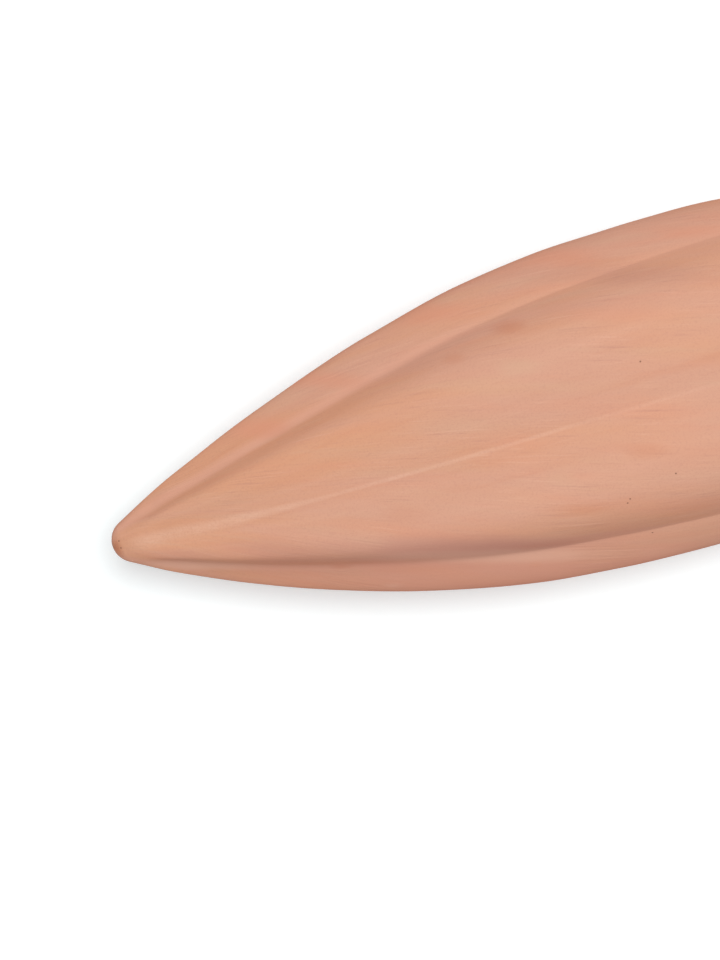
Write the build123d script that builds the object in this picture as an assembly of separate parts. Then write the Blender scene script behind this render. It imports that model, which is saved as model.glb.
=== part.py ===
from build123d import *
from math import atan2, cos, radians, sin, sqrt, tan
import os

# A self watering spike: a slip-cast, unglazed clay pod with six lobes, hollow inside, that is
# pushed tip first into potting soil, and the cork that closes its filler mouth.
# It lies on its side, on the two lobes beside its lowest crease. The tip points along -X and
# the mouth along +X. Sizes are millimetres and degrees.
# A station is a place on the pod's axis. Station zero is within a hair of the tip.

# Outline of the lobe crests, from the nose to the mouth
belly_radius = 31.2  # where the pod is widest
belly_station = 113.5
ogive_lead = 4.6  # how far the ogive would run on past the rounded nose
ogive_exponent = 2.18
nose_station = 2.3  # where the ball of the nose runs into the ogive
shoulder_length = 62.5  # from the belly to the round neck
neck_radius = 19.5
neck_length = 20.0
neck_flare_radius = 60.0  # hollow curve where the shoulder turns up into the neck
lip_bevel = 1.2

# Lobes
lobe_count = 6
crease_share = 0.265  # depth of the creases as a share of the crest radius, next to the tip
crease_full_station = 10.0  # the creases have grown out of the round nose here
crease_turn = 108.0  # how far a flank turns off the round, for each whole share of depth

# Clay wall
wall = 4.5
cavity_station = 21.0  # slip pools in the tip, so the cavity starts well past it
cavity_full_station = 34.0  # its blunt end is over and its creases are full from here
inner_crease_share = 0.75  # slip softens the creases on the inside

# Cork
cork_length = 32.0
cork_in_mouth = 20.0  # how much of it sits below the lip
cork_taper_share = 0.078  # growth of its radius along its length
cork_clearance = 0.1  # at the tightest place of the mouth
cork_bevel = 0.8

# Lofts
outer_slices = 46
inner_slices = 24
slice_crowding = 1.35  # above 1 the slices lie closer together towards the tip
slope_probe = 0.01  # half the step over which the slope of the crests is taken
cubic_rise_share = 3 / 4  # a cubic curve stands this share as high as its two handles

# Places that follow from the sizes above
neck_station = belly_station + shoulder_length
rim_station = neck_station + neck_length
bore_radius = neck_radius - wall
cork_station = rim_station - cork_in_mouth
cork_top_station = cork_station + cork_length
cork_seat_length = cork_in_mouth - lip_bevel
cork_small_radius = bore_radius - cork_clearance - cork_taper_share * cork_seat_length
cork_large_radius = cork_small_radius + cork_taper_share * cork_length


def crest_radius(station):
    """Radius of the lobe crests: an ogive up to the belly, then an S-curve down to the neck."""
    if station <= belly_station:
        share_left = (belly_station - station) / (belly_station + ogive_lead)
        return belly_radius * (1 - share_left**ogive_exponent)
    t = min((station - belly_station) / shoulder_length, 1)
    fall = 6 * t**5 - 15 * t**4 + 10 * t**3
    flare = (t**3 - 2 * t**4 + t**5) / 2
    level = belly_radius - (belly_radius - neck_radius) * fall
    return level + flare * shoulder_length**2 / neck_flare_radius


def crest_slope(station):
    """How steeply the crests rise along the axis."""
    rise = crest_radius(station + slope_probe) - crest_radius(station - slope_probe)
    return rise / (2 * slope_probe)


def grown_share(station, start, full):
    """Goes smoothly from 0 at the start to 1 where something is full."""
    t = min(max((station - start) / (full - start), 0), 1)
    return t * t * (3 - 2 * t)


def crease_depth(station):
    """How far the creases lie below the crests. They fade out on the nose and at the neck."""
    share = crease_share * max(1 - station / neck_station, 0)
    return share * grown_share(station, nose_station, crease_full_station) * crest_radius(station)


def inner_crease_depth(station):
    """How far the cavity's soft ridges stand in from its crests."""
    grown = grown_share(station, cavity_station, cavity_full_station)
    return inner_crease_share * crease_depth(station) * grown


def inner_radius(station):
    """Crest radius of the cavity, with a whole wall between its creases and those outside."""
    wall_across = wall * sqrt(1 + crest_slope(station) ** 2)
    crease_radius = crest_radius(station) - crease_depth(station)
    left = max(cavity_full_station - station, 0) / (cavity_full_station - cavity_station)
    dome_share = sqrt(1 - left**2)
    return dome_share * (crease_radius - wall_across + inner_crease_depth(station))


def lobe_curve(radius, depth, crest_angle):
    """One lobe of a slice, from crease to crease over its crest."""
    half_lobe = 180 / lobe_count
    crease_radius = radius - depth
    half_chord = crease_radius * sin(radians(half_lobe))
    chord_distance = crease_radius * cos(radians(half_lobe))
    start = Vector(chord_distance, -half_chord)
    end = Vector(chord_distance, half_chord)
    if depth == 0:
        return ThreePointArc(start, (radius, 0), end).rotate(Axis.Z, crest_angle)
    flank_angle = half_lobe + crease_turn * depth / radius
    rise = (radius - chord_distance) / cubic_rise_share
    handle = Vector(rise, rise / tan(radians(flank_angle)))
    mirrored = Vector(handle.X, -handle.Y)
    return Bezier(start, start + handle, end + mirrored, end).rotate(Axis.Z, crest_angle)


def place_across(station):
    """The plane across the pod at a station. Its own x axis runs along Y."""
    return Plane(origin=(station, 0, 0), x_dir=(0, 1, 0), z_dir=(1, 0, 0))


def lobed_slice(station):
    """A slice of the outside, with a crease straight up and one straight down."""
    radius = crest_radius(station)
    depth = crease_depth(station)
    curves = [lobe_curve(radius, depth, lobe * 360 / lobe_count) for lobe in range(lobe_count)]
    return place_across(station) * make_face(curves)


def cavity_slice(station):
    """A slice of the cavity, with straight flanks between its crests and its creases."""
    crest = inner_radius(station)
    crease = crest - inner_crease_depth(station)
    corners = []
    for lobe in range(lobe_count):
        crest_angle = radians(lobe * 360 / lobe_count)
        crease_angle = radians((lobe + 1 / 2) * 360 / lobe_count)
        corners.append((crest * cos(crest_angle), crest * sin(crest_angle)))
        corners.append((crease * cos(crease_angle), crease * sin(crease_angle)))
    return place_across(station) * make_face(Polyline(corners, close=True))


def slice_stations(start, count):
    """Stations of a loft's slices, from a start to the neck."""
    run = neck_station - start
    return [start + run * (slice_index / (count - 1)) ** slice_crowding for slice_index in range(count)]


def ball_nose(station):
    """The ball end that runs on smoothly from the round slice at a station."""
    radius = crest_radius(station)
    offset = radius * crest_slope(station)
    ball_radius = sqrt(radius**2 + offset**2)
    shoulder_angle = atan2(radius, offset)
    tip = (station + offset - ball_radius, 0)
    middle = (
        station + offset - ball_radius * cos(shoulder_angle / 2),
        ball_radius * sin(shoulder_angle / 2),
    )
    curve = ThreePointArc(tip, middle, (station, radius))
    back = Polyline((station, radius), (station, 0), tip)
    return revolve(Plane.XZ * make_face([curve, back]), Axis.X)


def round_bar(start, end, start_radius, end_radius):
    """A round or tapered bar along the axis."""
    outline = Polyline((start, 0), (start, start_radius), (end, end_radius), (end, 0), close=True)
    return revolve(Plane.XZ * make_face(outline), Axis.X)


def make_spike_body():
    """The clay pod: lobed outside, its softened copy as the cavity, a round neck, an open mouth."""
    lobes = loft([lobed_slice(s) for s in slice_stations(nose_station, outer_slices)], ruled=True)
    neck = round_bar(neck_station, rim_station, neck_radius, neck_radius)
    cavity_end, *cavity_stations = slice_stations(cavity_station, inner_slices)
    cavity_slices = [cavity_slice(s) for s in cavity_stations]
    cavity = loft([Vertex(cavity_end, 0, 0), *cavity_slices], ruled=True)
    bore = round_bar(neck_station, rim_station, bore_radius, bore_radius)
    body = lobes + ball_nose(nose_station) + neck - (cavity + bore)
    lip_edges = body.edges().group_by(Axis.X)[-1]
    return chamfer(lip_edges, lip_bevel)


def make_cork_stopper():
    """The tapered cork, small end in the mouth."""
    cork = round_bar(cork_station, cork_top_station, cork_small_radius, cork_large_radius)
    end_edges = cork.edges().filter_by(GeomType.CIRCLE)
    return chamfer(end_edges, cork_bevel)


spike_body = make_spike_body()
cork_stopper = make_cork_stopper()

# The origin is below the middle of the whole, on the surface that the pod lies on
whole_box = spike_body.bounding_box().add(cork_stopper.bounding_box())
to_origin = Pos(-whole_box.center().X, 0, -whole_box.min.Z)

os.makedirs("parts", exist_ok=True)
for name, piece in {"spike_body": spike_body, "cork_stopper": cork_stopper}.items():
    export_step(to_origin * piece, f"parts/{name}.step")

print("tip at", whole_box.min.X, "length", whole_box.size.X, "axis height", -whole_box.min.Z)
print("rim at", rim_station - whole_box.center().X, "cork top at", cork_top_station - whole_box.center().X)
print("cork radii", cork_small_radius, cork_large_radius)
print("body volume", spike_body.volume, "centre of mass", (to_origin * spike_body).center(CenterOf.MASS))
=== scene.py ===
"""Self watering spike: a slip-cast clay pod with six lobes, and the cork in its mouth.

The pod lies on its side on a white table, as a catalogue shows it. Everything is in metres, in
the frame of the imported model: +X runs from the tip to the mouth, +Z is up, and the pod rests on
z = 0. A station is a distance along the pod's axis, and station zero is at the tip.
"""

from __future__ import annotations

import logging
import math
from dataclasses import dataclass
from enum import Enum

import bpy
from mathutils import Matrix, Vector
from mathutils.bvhtree import BVHTree


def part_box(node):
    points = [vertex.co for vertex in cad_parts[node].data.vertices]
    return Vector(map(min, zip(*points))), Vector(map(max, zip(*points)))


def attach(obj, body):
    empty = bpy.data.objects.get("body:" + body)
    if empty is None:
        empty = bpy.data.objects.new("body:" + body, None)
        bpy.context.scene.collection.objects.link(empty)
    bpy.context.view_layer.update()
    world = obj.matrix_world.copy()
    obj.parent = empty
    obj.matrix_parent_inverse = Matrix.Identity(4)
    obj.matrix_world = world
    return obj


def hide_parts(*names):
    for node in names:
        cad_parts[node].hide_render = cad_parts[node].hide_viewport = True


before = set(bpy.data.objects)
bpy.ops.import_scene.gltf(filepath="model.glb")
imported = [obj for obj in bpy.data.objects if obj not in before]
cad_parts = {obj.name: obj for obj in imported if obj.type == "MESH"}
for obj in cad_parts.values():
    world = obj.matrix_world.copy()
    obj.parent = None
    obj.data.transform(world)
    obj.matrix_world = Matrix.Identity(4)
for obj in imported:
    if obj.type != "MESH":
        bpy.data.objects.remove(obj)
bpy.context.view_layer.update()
log = logging.getLogger("self_watering_spike")

Colour = tuple[float, float, float]
Span = tuple[float, float]
MM = 0.001
MERGE_DISTANCE = 2e-6
WIPE_SLANT = 16.4  # degrees between the pod's axis and the way that the clay was wiped
CUBIC_RISE_SHARE = 3 / 4  # a cubic curve stands this share as high as its two handles


class Tint(Enum):
    """Base colours of the pieces, as linear light."""

    CLAY_ORANGE = (0.635, 0.328, 0.208)
    CLAY_PINK = (0.612, 0.334, 0.243)
    CLAY_PALE = (0.690, 0.405, 0.300)
    CLAY_RED = (0.520, 0.178, 0.090)
    CLAY_RUST = (0.655, 0.298, 0.200)
    # painted warm shade for the lower outer lobe
    CLAY_WARM_SHADE = (0.640, 0.298, 0.222)
    CLAY_GREY = (0.440, 0.212, 0.182)
    # painted light that lifts the shade in the creases
    CLAY_CREASE_LIGHT = (0.722, 0.396, 0.293)
    CLAY_BONE = (0.740, 0.475, 0.365)
    CLAY_SAND = (0.600, 0.375, 0.262)
    # painted shade in the pits
    CLAY_PIT_SHADE = (0.150, 0.070, 0.048)
    CORK_TAN = (0.500, 0.310, 0.165)
    CORK_BROWN = (0.330, 0.180, 0.085)
    CORK_PORE = (0.075, 0.036, 0.018)
    CORK_PALE = (0.610, 0.420, 0.250)
    TABLE_WHITE = (0.838, 0.905, 0.945)
    TABLE_BOUNCE = (0.690, 0.508, 0.500)
    ROOM_WHITE = (1.000, 0.950, 0.915)


@dataclass(frozen=True)
class Term:
    """A number or vector in a node tree. Arithmetic on it adds the nodes that work it out."""

    maker: "NodeMaker"
    socket: bpy.types.NodeSocket

    def __add__(self, other: "Term | float") -> "Term":
        """Sum."""
        return self.maker.math("ADD", self, other)

    def __radd__(self, other: float) -> "Term":
        """Sum, with the number first."""
        return self.maker.math("ADD", other, self)

    def __sub__(self, other: "Term | float") -> "Term":
        """Difference."""
        return self.maker.math("SUBTRACT", self, other)

    def __rsub__(self, other: float) -> "Term":
        """Difference, with the number first."""
        return self.maker.math("SUBTRACT", other, self)

    def __mul__(self, other: "Term | float") -> "Term":
        """Product."""
        return self.maker.math("MULTIPLY", self, other)

    def __rmul__(self, other: float) -> "Term":
        """Product, with the number first."""
        return self.maker.math("MULTIPLY", other, self)

    def __truediv__(self, other: "Term | float") -> "Term":
        """Quotient."""
        return self.maker.math("DIVIDE", self, other)

    def __rtruediv__(self, other: float) -> "Term":
        """Quotient, with the number first."""
        return self.maker.math("DIVIDE", other, self)


@dataclass(frozen=True)
class Noise:
    """A noise: its cells for each metre, its finer layers and how strong those are."""

    cells: float | tuple[float, float, float]
    detail: float
    roughness: float


class NodeMaker:
    """Adds nodes to one node tree and links them, so that a formula reads as a formula."""

    def __init__(self, tree: bpy.types.NodeTree) -> None:
        """Starts with an existing tree."""
        self.tree = tree

    def node(self, kind: str, **settings: object) -> bpy.types.Node:
        """Adds a node.

        Args:
            kind: Blender's name for the type of node.
            settings: Properties of the node, by name.

        Returns:
            The new node.
        """
        made = self.tree.nodes.new(kind)
        for name, value in settings.items():
            setattr(made, name, value)
        return made

    def feed(self, socket: bpy.types.NodeSocket, value: object) -> None:
        """Links a term to an input socket, or sets the socket to a plain value.

        Args:
            socket: The input.
            value: The term, socket or plain value.
        """
        if isinstance(value, Term):
            self.tree.links.new(value.socket, socket)
        elif isinstance(value, bpy.types.NodeSocket):
            self.tree.links.new(value, socket)
        else:
            socket.default_value = value

    def math(self, operation: str, *values: "Term | float") -> Term:
        """Adds a Math node.

        Args:
            operation: The node's operation.
            values: Its inputs, in order.

        Returns:
            The result.
        """
        made = self.node("ShaderNodeMath", operation=operation)
        for socket, value in zip(made.inputs, values):
            self.feed(socket, value)
        return Term(self, made.outputs[0])

    def vector(self, x: "Term | float", y: "Term | float", z: "Term | float") -> Term:
        """Puts three numbers together as a vector.

        Args:
            x: The first.
            y: The second.
            z: The third.

        Returns:
            The vector.
        """
        made = self.node("ShaderNodeCombineXYZ")
        for socket, value in zip(made.inputs, (x, y, z)):
            self.feed(socket, value)
        return Term(self, made.outputs[0])

    def stretch(self, vector: Term, factors: tuple[float, float, float]) -> Term:
        """Multiplies a vector, part by part.

        Args:
            vector: The vector.
            factors: A factor for each of its parts.

        Returns:
            The stretched vector.
        """
        made = self.node("ShaderNodeVectorMath", operation="MULTIPLY")
        self.feed(made.inputs[0], vector)
        made.inputs[1].default_value = factors
        return Term(self, made.outputs["Vector"])

    def moved(self, vector: Term, shift: Term) -> Term:
        """Adds two vectors.

        Args:
            vector: The first.
            shift: The second.

        Returns:
            Their sum.
        """
        made = self.node("ShaderNodeVectorMath", operation="ADD")
        self.feed(made.inputs[0], vector)
        self.feed(made.inputs[1], shift)
        return Term(self, made.outputs["Vector"])

    def distance(self, vector: Term, place: tuple[float, float, float]) -> Term:
        """Distance of a vector from a fixed place.

        Args:
            vector: The vector.
            place: The fixed place.

        Returns:
            The distance.
        """
        made = self.node("ShaderNodeVectorMath", operation="DISTANCE")
        self.feed(made.inputs[0], vector)
        made.inputs[1].default_value = place
        return Term(self, made.outputs["Value"])

    def noise(self, vector: Term, noise: Noise) -> Term:
        """Adds a noise texture.

        Args:
            vector: Where it is read.
            noise: Its cells and layers.

        Returns:
            The noise, between 0 and 1.
        """
        stretched = isinstance(noise.cells, tuple)
        place = self.stretch(vector, noise.cells) if stretched else vector
        made = self.node("ShaderNodeTexNoise", noise_dimensions="3D")
        self.feed(made.inputs["Vector"], place)
        made.inputs["Scale"].default_value = 1.0 if stretched else noise.cells
        made.inputs["Detail"].default_value = noise.detail
        made.inputs["Roughness"].default_value = noise.roughness
        return Term(self, made.outputs[0])

    def cells(self, vector: Term, scale: float) -> tuple[Term, Term]:
        """Adds a Voronoi texture.

        Args:
            vector: Where it is read.
            scale: Cells for each unit.

        Returns:
            The distance to the nearest cell's middle, and a random number for that cell.
        """
        made = self.node("ShaderNodeTexVoronoi", voronoi_dimensions="3D", feature="F1")
        self.feed(made.inputs["Vector"], vector)
        made.inputs["Scale"].default_value = scale
        red = self.node("ShaderNodeSeparateXYZ")
        self.tree.links.new(made.outputs["Color"], red.inputs[0])
        return Term(self, made.outputs["Distance"]), Term(self, red.outputs[0])

    def rise(self, value: Term, low: float, high: float) -> Term:
        """Smooth step from 0 at the low value to 1 at the high one, whichever is larger.

        Args:
            value: What the step follows.
            low: The value where it is 0.
            high: The value where it is 1.

        Returns:
            The step.
        """
        made = self.node("ShaderNodeMapRange", interpolation_type="SMOOTHSTEP", clamp=True)
        self.feed(made.inputs["Value"], value)
        if low < high:
            made.inputs["From Min"].default_value = low
            made.inputs["From Max"].default_value = high
        else:
            made.inputs["From Min"].default_value = high
            made.inputs["From Max"].default_value = low
            made.inputs["To Min"].default_value = 1.0
            made.inputs["To Max"].default_value = 0.0
        return Term(self, made.outputs["Result"])

    def between(self, share: Term, ends: Span) -> Term:
        """Goes from one number to another as a share goes from 0 to 1."""
        low, high = ends
        return low + share * (high - low)

    def attribute(self, name: str) -> tuple[Term, Term]:
        """Reads a stored attribute in a material, as a vector and as a number."""
        made = self.node("ShaderNodeAttribute", attribute_name=name)
        return Term(self, made.outputs["Vector"]), Term(self, made.outputs["Fac"])

    def tinted(self, factor: "Term | float", low: "Term | Tint", high: "Term | Tint") -> Term:
        """Mixes two colours.

        Args:
            factor: 0 for the first colour, 1 for the second.
            low: The first colour.
            high: The second colour.

        Returns:
            The mixed colour.
        """
        made = self.node("ShaderNodeMix", data_type="RGBA", blend_type="MIX")
        self.feed(made.inputs[0], factor)
        for socket, colour in zip((made.inputs[6], made.inputs[7]), (low, high)):
            self.feed(socket, (*colour.value, 1.0) if isinstance(colour, Tint) else colour)
        return Term(self, made.outputs[2])


def new_material(name: str) -> tuple[bpy.types.Material, NodeMaker, bpy.types.Node]:
    """Makes a material that holds only a Principled shader.

    Args:
        name: Name of the material.

    Returns:
        The material, the maker of its tree and the shader node.
    """
    material = bpy.data.materials.new(name)
    material.use_nodes = True
    maker = NodeMaker(material.node_tree)
    material.node_tree.nodes.clear()
    shader = maker.node("ShaderNodeBsdfPrincipled")
    output = maker.node("ShaderNodeOutputMaterial")
    maker.tree.links.new(shader.outputs["BSDF"], output.inputs["Surface"])
    return material, maker, shader


class Pattern(Enum):
    """Patterns that the colours and the fine relief are made of."""

    PATCHES = "patches"
    BANDS = "bands"
    DRIFTS = "drifts"
    STREAKS = "streaks"
    SCRATCHES = "scratches"
    GRAIN = "grain"
    CLOUDS = "clouds"
    CRUMBS = "crumbs"
    GROWTH_LINES = "growth lines"
    CELLS = "cells"
    PORES = "pores"


@dataclass(frozen=True)
class Layer:
    """A tint over others: none of it at a pattern's low value, and most at the full one."""

    pattern: Pattern
    low: float
    full: float
    strength: float
    tint: Tint


@dataclass(frozen=True)
class Finish:
    """A matt finish: what is the same all over a piece, and how it's fed to the shader."""

    name: str
    diffuse_roughness: float
    specular: float
    roughness: Span
    bump_strength: float
    bump_depth: float
    layers: tuple[Layer, ...]

    def layered(
        self,
        maker: NodeMaker,
        colour: Term,
        patterns: dict[Pattern, Term],
        shown: dict[Pattern, Term],
    ) -> Term:
        """Lays the tints over a colour.

        Args:
            maker: The maker of the material's tree.
            colour: The colour below the tints.
            patterns: The value of each pattern.
            shown: Share that is seen of the patterns that don't show alike everywhere.

        Returns:
            The colour with the tints.
        """
        for layer in self.layers:
            share = maker.rise(patterns[layer.pattern], layer.low, layer.full)
            if layer.pattern in shown:
                share = share * shown[layer.pattern]
            colour = maker.tinted(share * layer.strength, colour, layer.tint)
        return colour

    def dress(
        self,
        maker: NodeMaker,
        shader: bpy.types.Node,
        colour: Term,
        roughness: Term,
        height: Term,
    ) -> None:
        """Feeds the shader.

        Args:
            maker: The maker of the material's tree.
            shader: The Principled shader.
            colour: The surface's colour.
            roughness: Its roughness.
            height: Its fine relief, as a share of the bump's depth.
        """
        bump = maker.node("ShaderNodeBump")
        bump.inputs["Strength"].default_value = self.bump_strength
        bump.inputs["Distance"].default_value = self.bump_depth
        maker.feed(bump.inputs["Height"], height)
        maker.feed(shader.inputs["Base Color"], colour)
        maker.feed(shader.inputs["Roughness"], roughness)
        maker.feed(shader.inputs["Normal"], bump.outputs[0])
        shader.inputs["Specular IOR Level"].default_value = self.specular
        shader.inputs["Diffuse Roughness"].default_value = self.diffuse_roughness


@dataclass(frozen=True)
class ClayMark:
    """A patch of another colour on the clay, stretched the way that the clay was wiped: a stain,
    or a patch of painted shade or of painted light.

    Its station, length and width are in millimetres, and its turn in degrees from straight up.
    """

    station: float
    turn: float
    length: float
    width: float
    tint: Tint
    strength: float


@dataclass(frozen=True)
class ClayFinish(Finish):
    """Unglazed, wiped and fired clay."""

    name: str = "terracotta"
    diffuse_roughness: float = 0.25
    specular: float = 0.06
    roughness: Span = (0.86, 0.96)
    bump_strength: float = 0.55
    bump_depth: float = 0.13 * MM

    patches: Noise = Noise((14.0, 62.0, 62.0), 3.0, 0.55)
    bands: Noise = Noise((26.0, 240.0, 240.0), 3.0, 0.5)
    drifts: Noise = Noise((36.0, 230.0, 230.0), 4.0, 0.55)
    streaks: Noise = Noise((95.0, 1700.0, 1700.0), 3.0, 0.6)
    scratches: Noise = Noise((60.0, 2600.0, 2600.0), 2.0, 0.5)
    grain: Noise = Noise(2600.0, 2.0, 0.6)
    clouds: Noise = Noise(70.0, 3.0, 0.5)

    wiped_clouds: Span = (0.42, 0.60)  # clouds where the wiping starts, and where it is full
    pink_patches: Span = (0.34, 0.66)  # patches where the pink starts, and where it is full
    even_station: float = 60 * MM  # pinker past it, and more orange before it
    pinker_rate: float = 2.0  # per metre
    streaks_shown: Span = (0.25, 1.0)  # where the clay was wiped least, and where most

    # Painted light in the creases: a pale tint that lifts their shade, thickest towards the tip.
    crease_light_strength: float = 0.66
    crease_light_reach: Span = (2.8 * MM, 0.2 * MM)  # from a crease, where it starts and is full
    crease_light_stations: Span = (95 * MM, 40 * MM)  # where it is thinnest, and where thickest
    crease_light_thickness: Span = (0.3, 1.0)

    seam_width: float = 0.58 * MM
    seam_edge: Span = (1.0, 0.1)  # in widths, where it starts and where it is full
    seam_wider_stations: Span = (45 * MM, 10 * MM)
    seam_growth: Span = (1.0, 3.4)  # its width before and past those stations
    seam_end: Span = (1.5 * MM, 7 * MM)  # it runs out towards the tip
    seam_rubbed_stations: Span = (125 * MM, 30 * MM)
    seam_strength: Span = (0.10, 0.36)  # past and before those stations
    seam_grain: Span = (0.40, 1.60)  # how much the grain breaks it up
    seam_wiping: Span = (0.62, 1.12)

    mark_edge: Span = (1.2, 0.15)  # in half sizes, where a mark starts and where it is full
    pit_scale: float = 75.0
    pit_edge: Span = (0.016, 0.006)  # in cells, where a pit starts and where it is full
    pit_cells: Span = (0.80, 0.82)  # random numbers from which a cell holds a pit
    pit_shade_strength: float = 0.65
    hand_pit_edge: Span = (0.22 * MM, 0.08 * MM)

    streak_relief: Span = (0.50, 1.40)  # where the clay was wiped least, and where most
    scratch_relief: float = 0.40
    grain_relief: Span = (0.34, 1.74)  # off the seam and on it
    pit_relief: float = 1.5

    layers: tuple[Layer, ...] = (
        Layer(Pattern.BANDS, 0.45, 0.75, 0.22, Tint.CLAY_PALE),
        Layer(Pattern.BANDS, 0.46, 0.22, 0.16, Tint.CLAY_RED),
        Layer(Pattern.DRIFTS, 0.48, 0.72, 0.28, Tint.CLAY_RUST),
        Layer(Pattern.DRIFTS, 0.50, 0.28, 0.32, Tint.CLAY_SAND),
        Layer(Pattern.STREAKS, 0.56, 0.74, 0.46, Tint.CLAY_PALE),
        Layer(Pattern.STREAKS, 0.44, 0.26, 0.30, Tint.CLAY_GREY),
        Layer(Pattern.SCRATCHES, 0.60, 0.76, 0.16, Tint.CLAY_PALE),
        Layer(Pattern.GRAIN, 0.52, 0.30, 0.16, Tint.CLAY_GREY),
        Layer(Pattern.GRAIN, 0.56, 0.75, 0.10, Tint.CLAY_PALE),
    )

    def make(
        self, marks: list[tuple[Vector, ClayMark]], pits: list[Vector]
    ) -> bpy.types.Material:
        """Builds the material.

        Args:
            marks: The listed patches, with their places.
            pits: Places of the listed pits.

        Returns:
            The material.
        """
        material, maker, shader = new_material(self.name)
        place = Term(maker, maker.node("ShaderNodeTexCoord").outputs["Object"])
        station = maker.attribute("station")[1]
        noises = self.noises(maker, place)
        clouds = noises[Pattern.CLOUDS]
        wiped_here = maker.rise(clouds, *self.wiped_clouds)
        on_seam = self.seam(maker, station, noises[Pattern.GRAIN], wiped_here)
        pit = self.pitting(maker, place, pits)

        paler = noises[Pattern.PATCHES] + (station - self.even_station) * self.pinker_rate
        pinker = maker.rise(paler, *self.pink_patches)
        colour = maker.tinted(pinker, Tint.CLAY_ORANGE, Tint.CLAY_PINK)
        streaks_shown = maker.between(wiped_here, self.streaks_shown)
        colour = self.layered(maker, colour, noises, {Pattern.STREAKS: streaks_shown})
        # Painted light: the side creases are tinted pale to lift their shade.
        colour = maker.tinted(self.painted_crease_light(maker, station), colour, Tint.CLAY_CREASE_LIGHT)
        colour = maker.tinted(on_seam, colour, Tint.CLAY_BONE)
        # Stains, and patches of painted shade and painted light on the lobes and creases.
        for spot, mark in marks:
            gap = self.mark_gap(maker, place, spot, mark)
            inside = maker.rise(gap + clouds - 0.5, *self.mark_edge)
            colour = maker.tinted(inside * mark.strength, colour, mark.tint)
        # Painted shade: the pits are coloured dark, as the shade in a small hole looks.
        colour = maker.tinted(pit * self.pit_shade_strength, colour, Tint.CLAY_PIT_SHADE)

        height = noises[Pattern.STREAKS] * maker.between(wiped_here, self.streak_relief)
        height = height + noises[Pattern.SCRATCHES] * self.scratch_relief
        height = height + noises[Pattern.GRAIN] * maker.between(on_seam, self.grain_relief)
        height = height - pit * self.pit_relief
        roughness = maker.between(noises[Pattern.BANDS], self.roughness)
        self.dress(maker, shader, colour, roughness, height)
        return material

    def noises(self, maker: NodeMaker, place: Term) -> dict[Pattern, Term]:
        """Adds the noises.

        Args:
            maker: The maker of the material's tree.
            place: Object coordinates.

        Returns:
            Each noise, by its pattern.
        """
        wiped = maker.attribute("wipe_place")[0]
        lengthwise = maker.attribute("length_place")[0]
        return {
            Pattern.PATCHES: maker.noise(wiped, self.patches),
            Pattern.BANDS: maker.noise(lengthwise, self.bands),
            Pattern.DRIFTS: maker.noise(wiped, self.drifts),
            Pattern.STREAKS: maker.noise(wiped, self.streaks),
            Pattern.SCRATCHES: maker.noise(lengthwise, self.scratches),
            Pattern.GRAIN: maker.noise(place, self.grain),
            Pattern.CLOUDS: maker.noise(place, self.clouds),
        }

    def painted_crease_light(self, maker: NodeMaker, station: Term) -> Term:
        """Share of painted light in the creases, a pale tint that lifts their shade and thins out
        along the pod.

        Args:
            maker: The maker of the material's tree.
            station: Distance from the tip.

        Returns:
            The share, from 0 to 1.
        """
        gap = maker.attribute("crease_gap")[1]
        seam = maker.attribute("seam")[1]
        tipward = maker.rise(station, *self.crease_light_stations)
        in_crease = maker.rise(gap, *self.crease_light_reach)
        in_crease = in_crease * maker.between(tipward, self.crease_light_thickness)
        return in_crease * (1.0 - seam) * self.crease_light_strength

    def seam(self, maker: NodeMaker, station: Term, grain: Term, wiped_here: Term) -> Term:
        """Adds the pale line along the crease that lies on top.

        Args:
            maker: The maker of the material's tree.
            station: Distance from the tip.
            grain: The finest noise, which roughens the line.
            wiped_here: 1 where the wiping shows most, 0 where it shows least.

        Returns:
            How strongly the line shows.
        """
        wider = maker.rise(station, *self.seam_wider_stations)
        rubbed = maker.rise(station, *self.seam_rubbed_stations)
        gap = maker.attribute("crease_gap")[1]
        gap = gap / (self.seam_width * maker.between(wider, self.seam_growth))
        line = maker.rise(gap, *self.seam_edge) * maker.attribute("seam")[1]
        line = line * maker.rise(station, *self.seam_end)
        line = line * maker.between(rubbed, self.seam_strength)
        line = line * maker.between(grain, self.seam_grain)
        return line * maker.between(wiped_here, self.seam_wiping)

    def pitting(self, maker: NodeMaker, place: Term, pits: list[Vector]) -> Term:
        """Adds scattered pits and the listed ones.

        Args:
            maker: The maker of the material's tree.
            place: Object coordinates.
            pits: Places of the listed pits.

        Returns:
            1 in the middle of a pit, 0 outside all of them.
        """
        cell_gap, cell_number = maker.cells(place, self.pit_scale)
        pit = maker.rise(cell_gap, *self.pit_edge) * maker.rise(cell_number, *self.pit_cells)
        for spot in pits:
            gap = maker.distance(place, tuple(spot))
            pit = maker.math("MAXIMUM", pit, maker.rise(gap, *self.hand_pit_edge))
        return pit

    def mark_gap(self, maker: NodeMaker, place: Term, spot: Vector, mark: ClayMark) -> Term:
        """Distance from the middle of a mark, where 1 is its edge.

        Args:
            maker: The maker of the material's tree.
            place: Object coordinates.
            spot: The middle of the mark.
            mark: The mark.

        Returns:
            The distance.
        """
        turned = maker.node("ShaderNodeMapping", vector_type="TEXTURE")
        maker.feed(turned.inputs["Vector"], place)
        turned.inputs["Location"].default_value = spot
        turned.inputs["Rotation"].default_value = (0.0, 0.0, math.radians(-WIPE_SLANT))
        half_length, half_width = mark.length * MM / 2, mark.width * MM / 2
        turned.inputs["Scale"].default_value = (half_length, half_width, half_length)
        return maker.distance(Term(maker, turned.outputs["Vector"]), (0.0, 0.0, 0.0))


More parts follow.
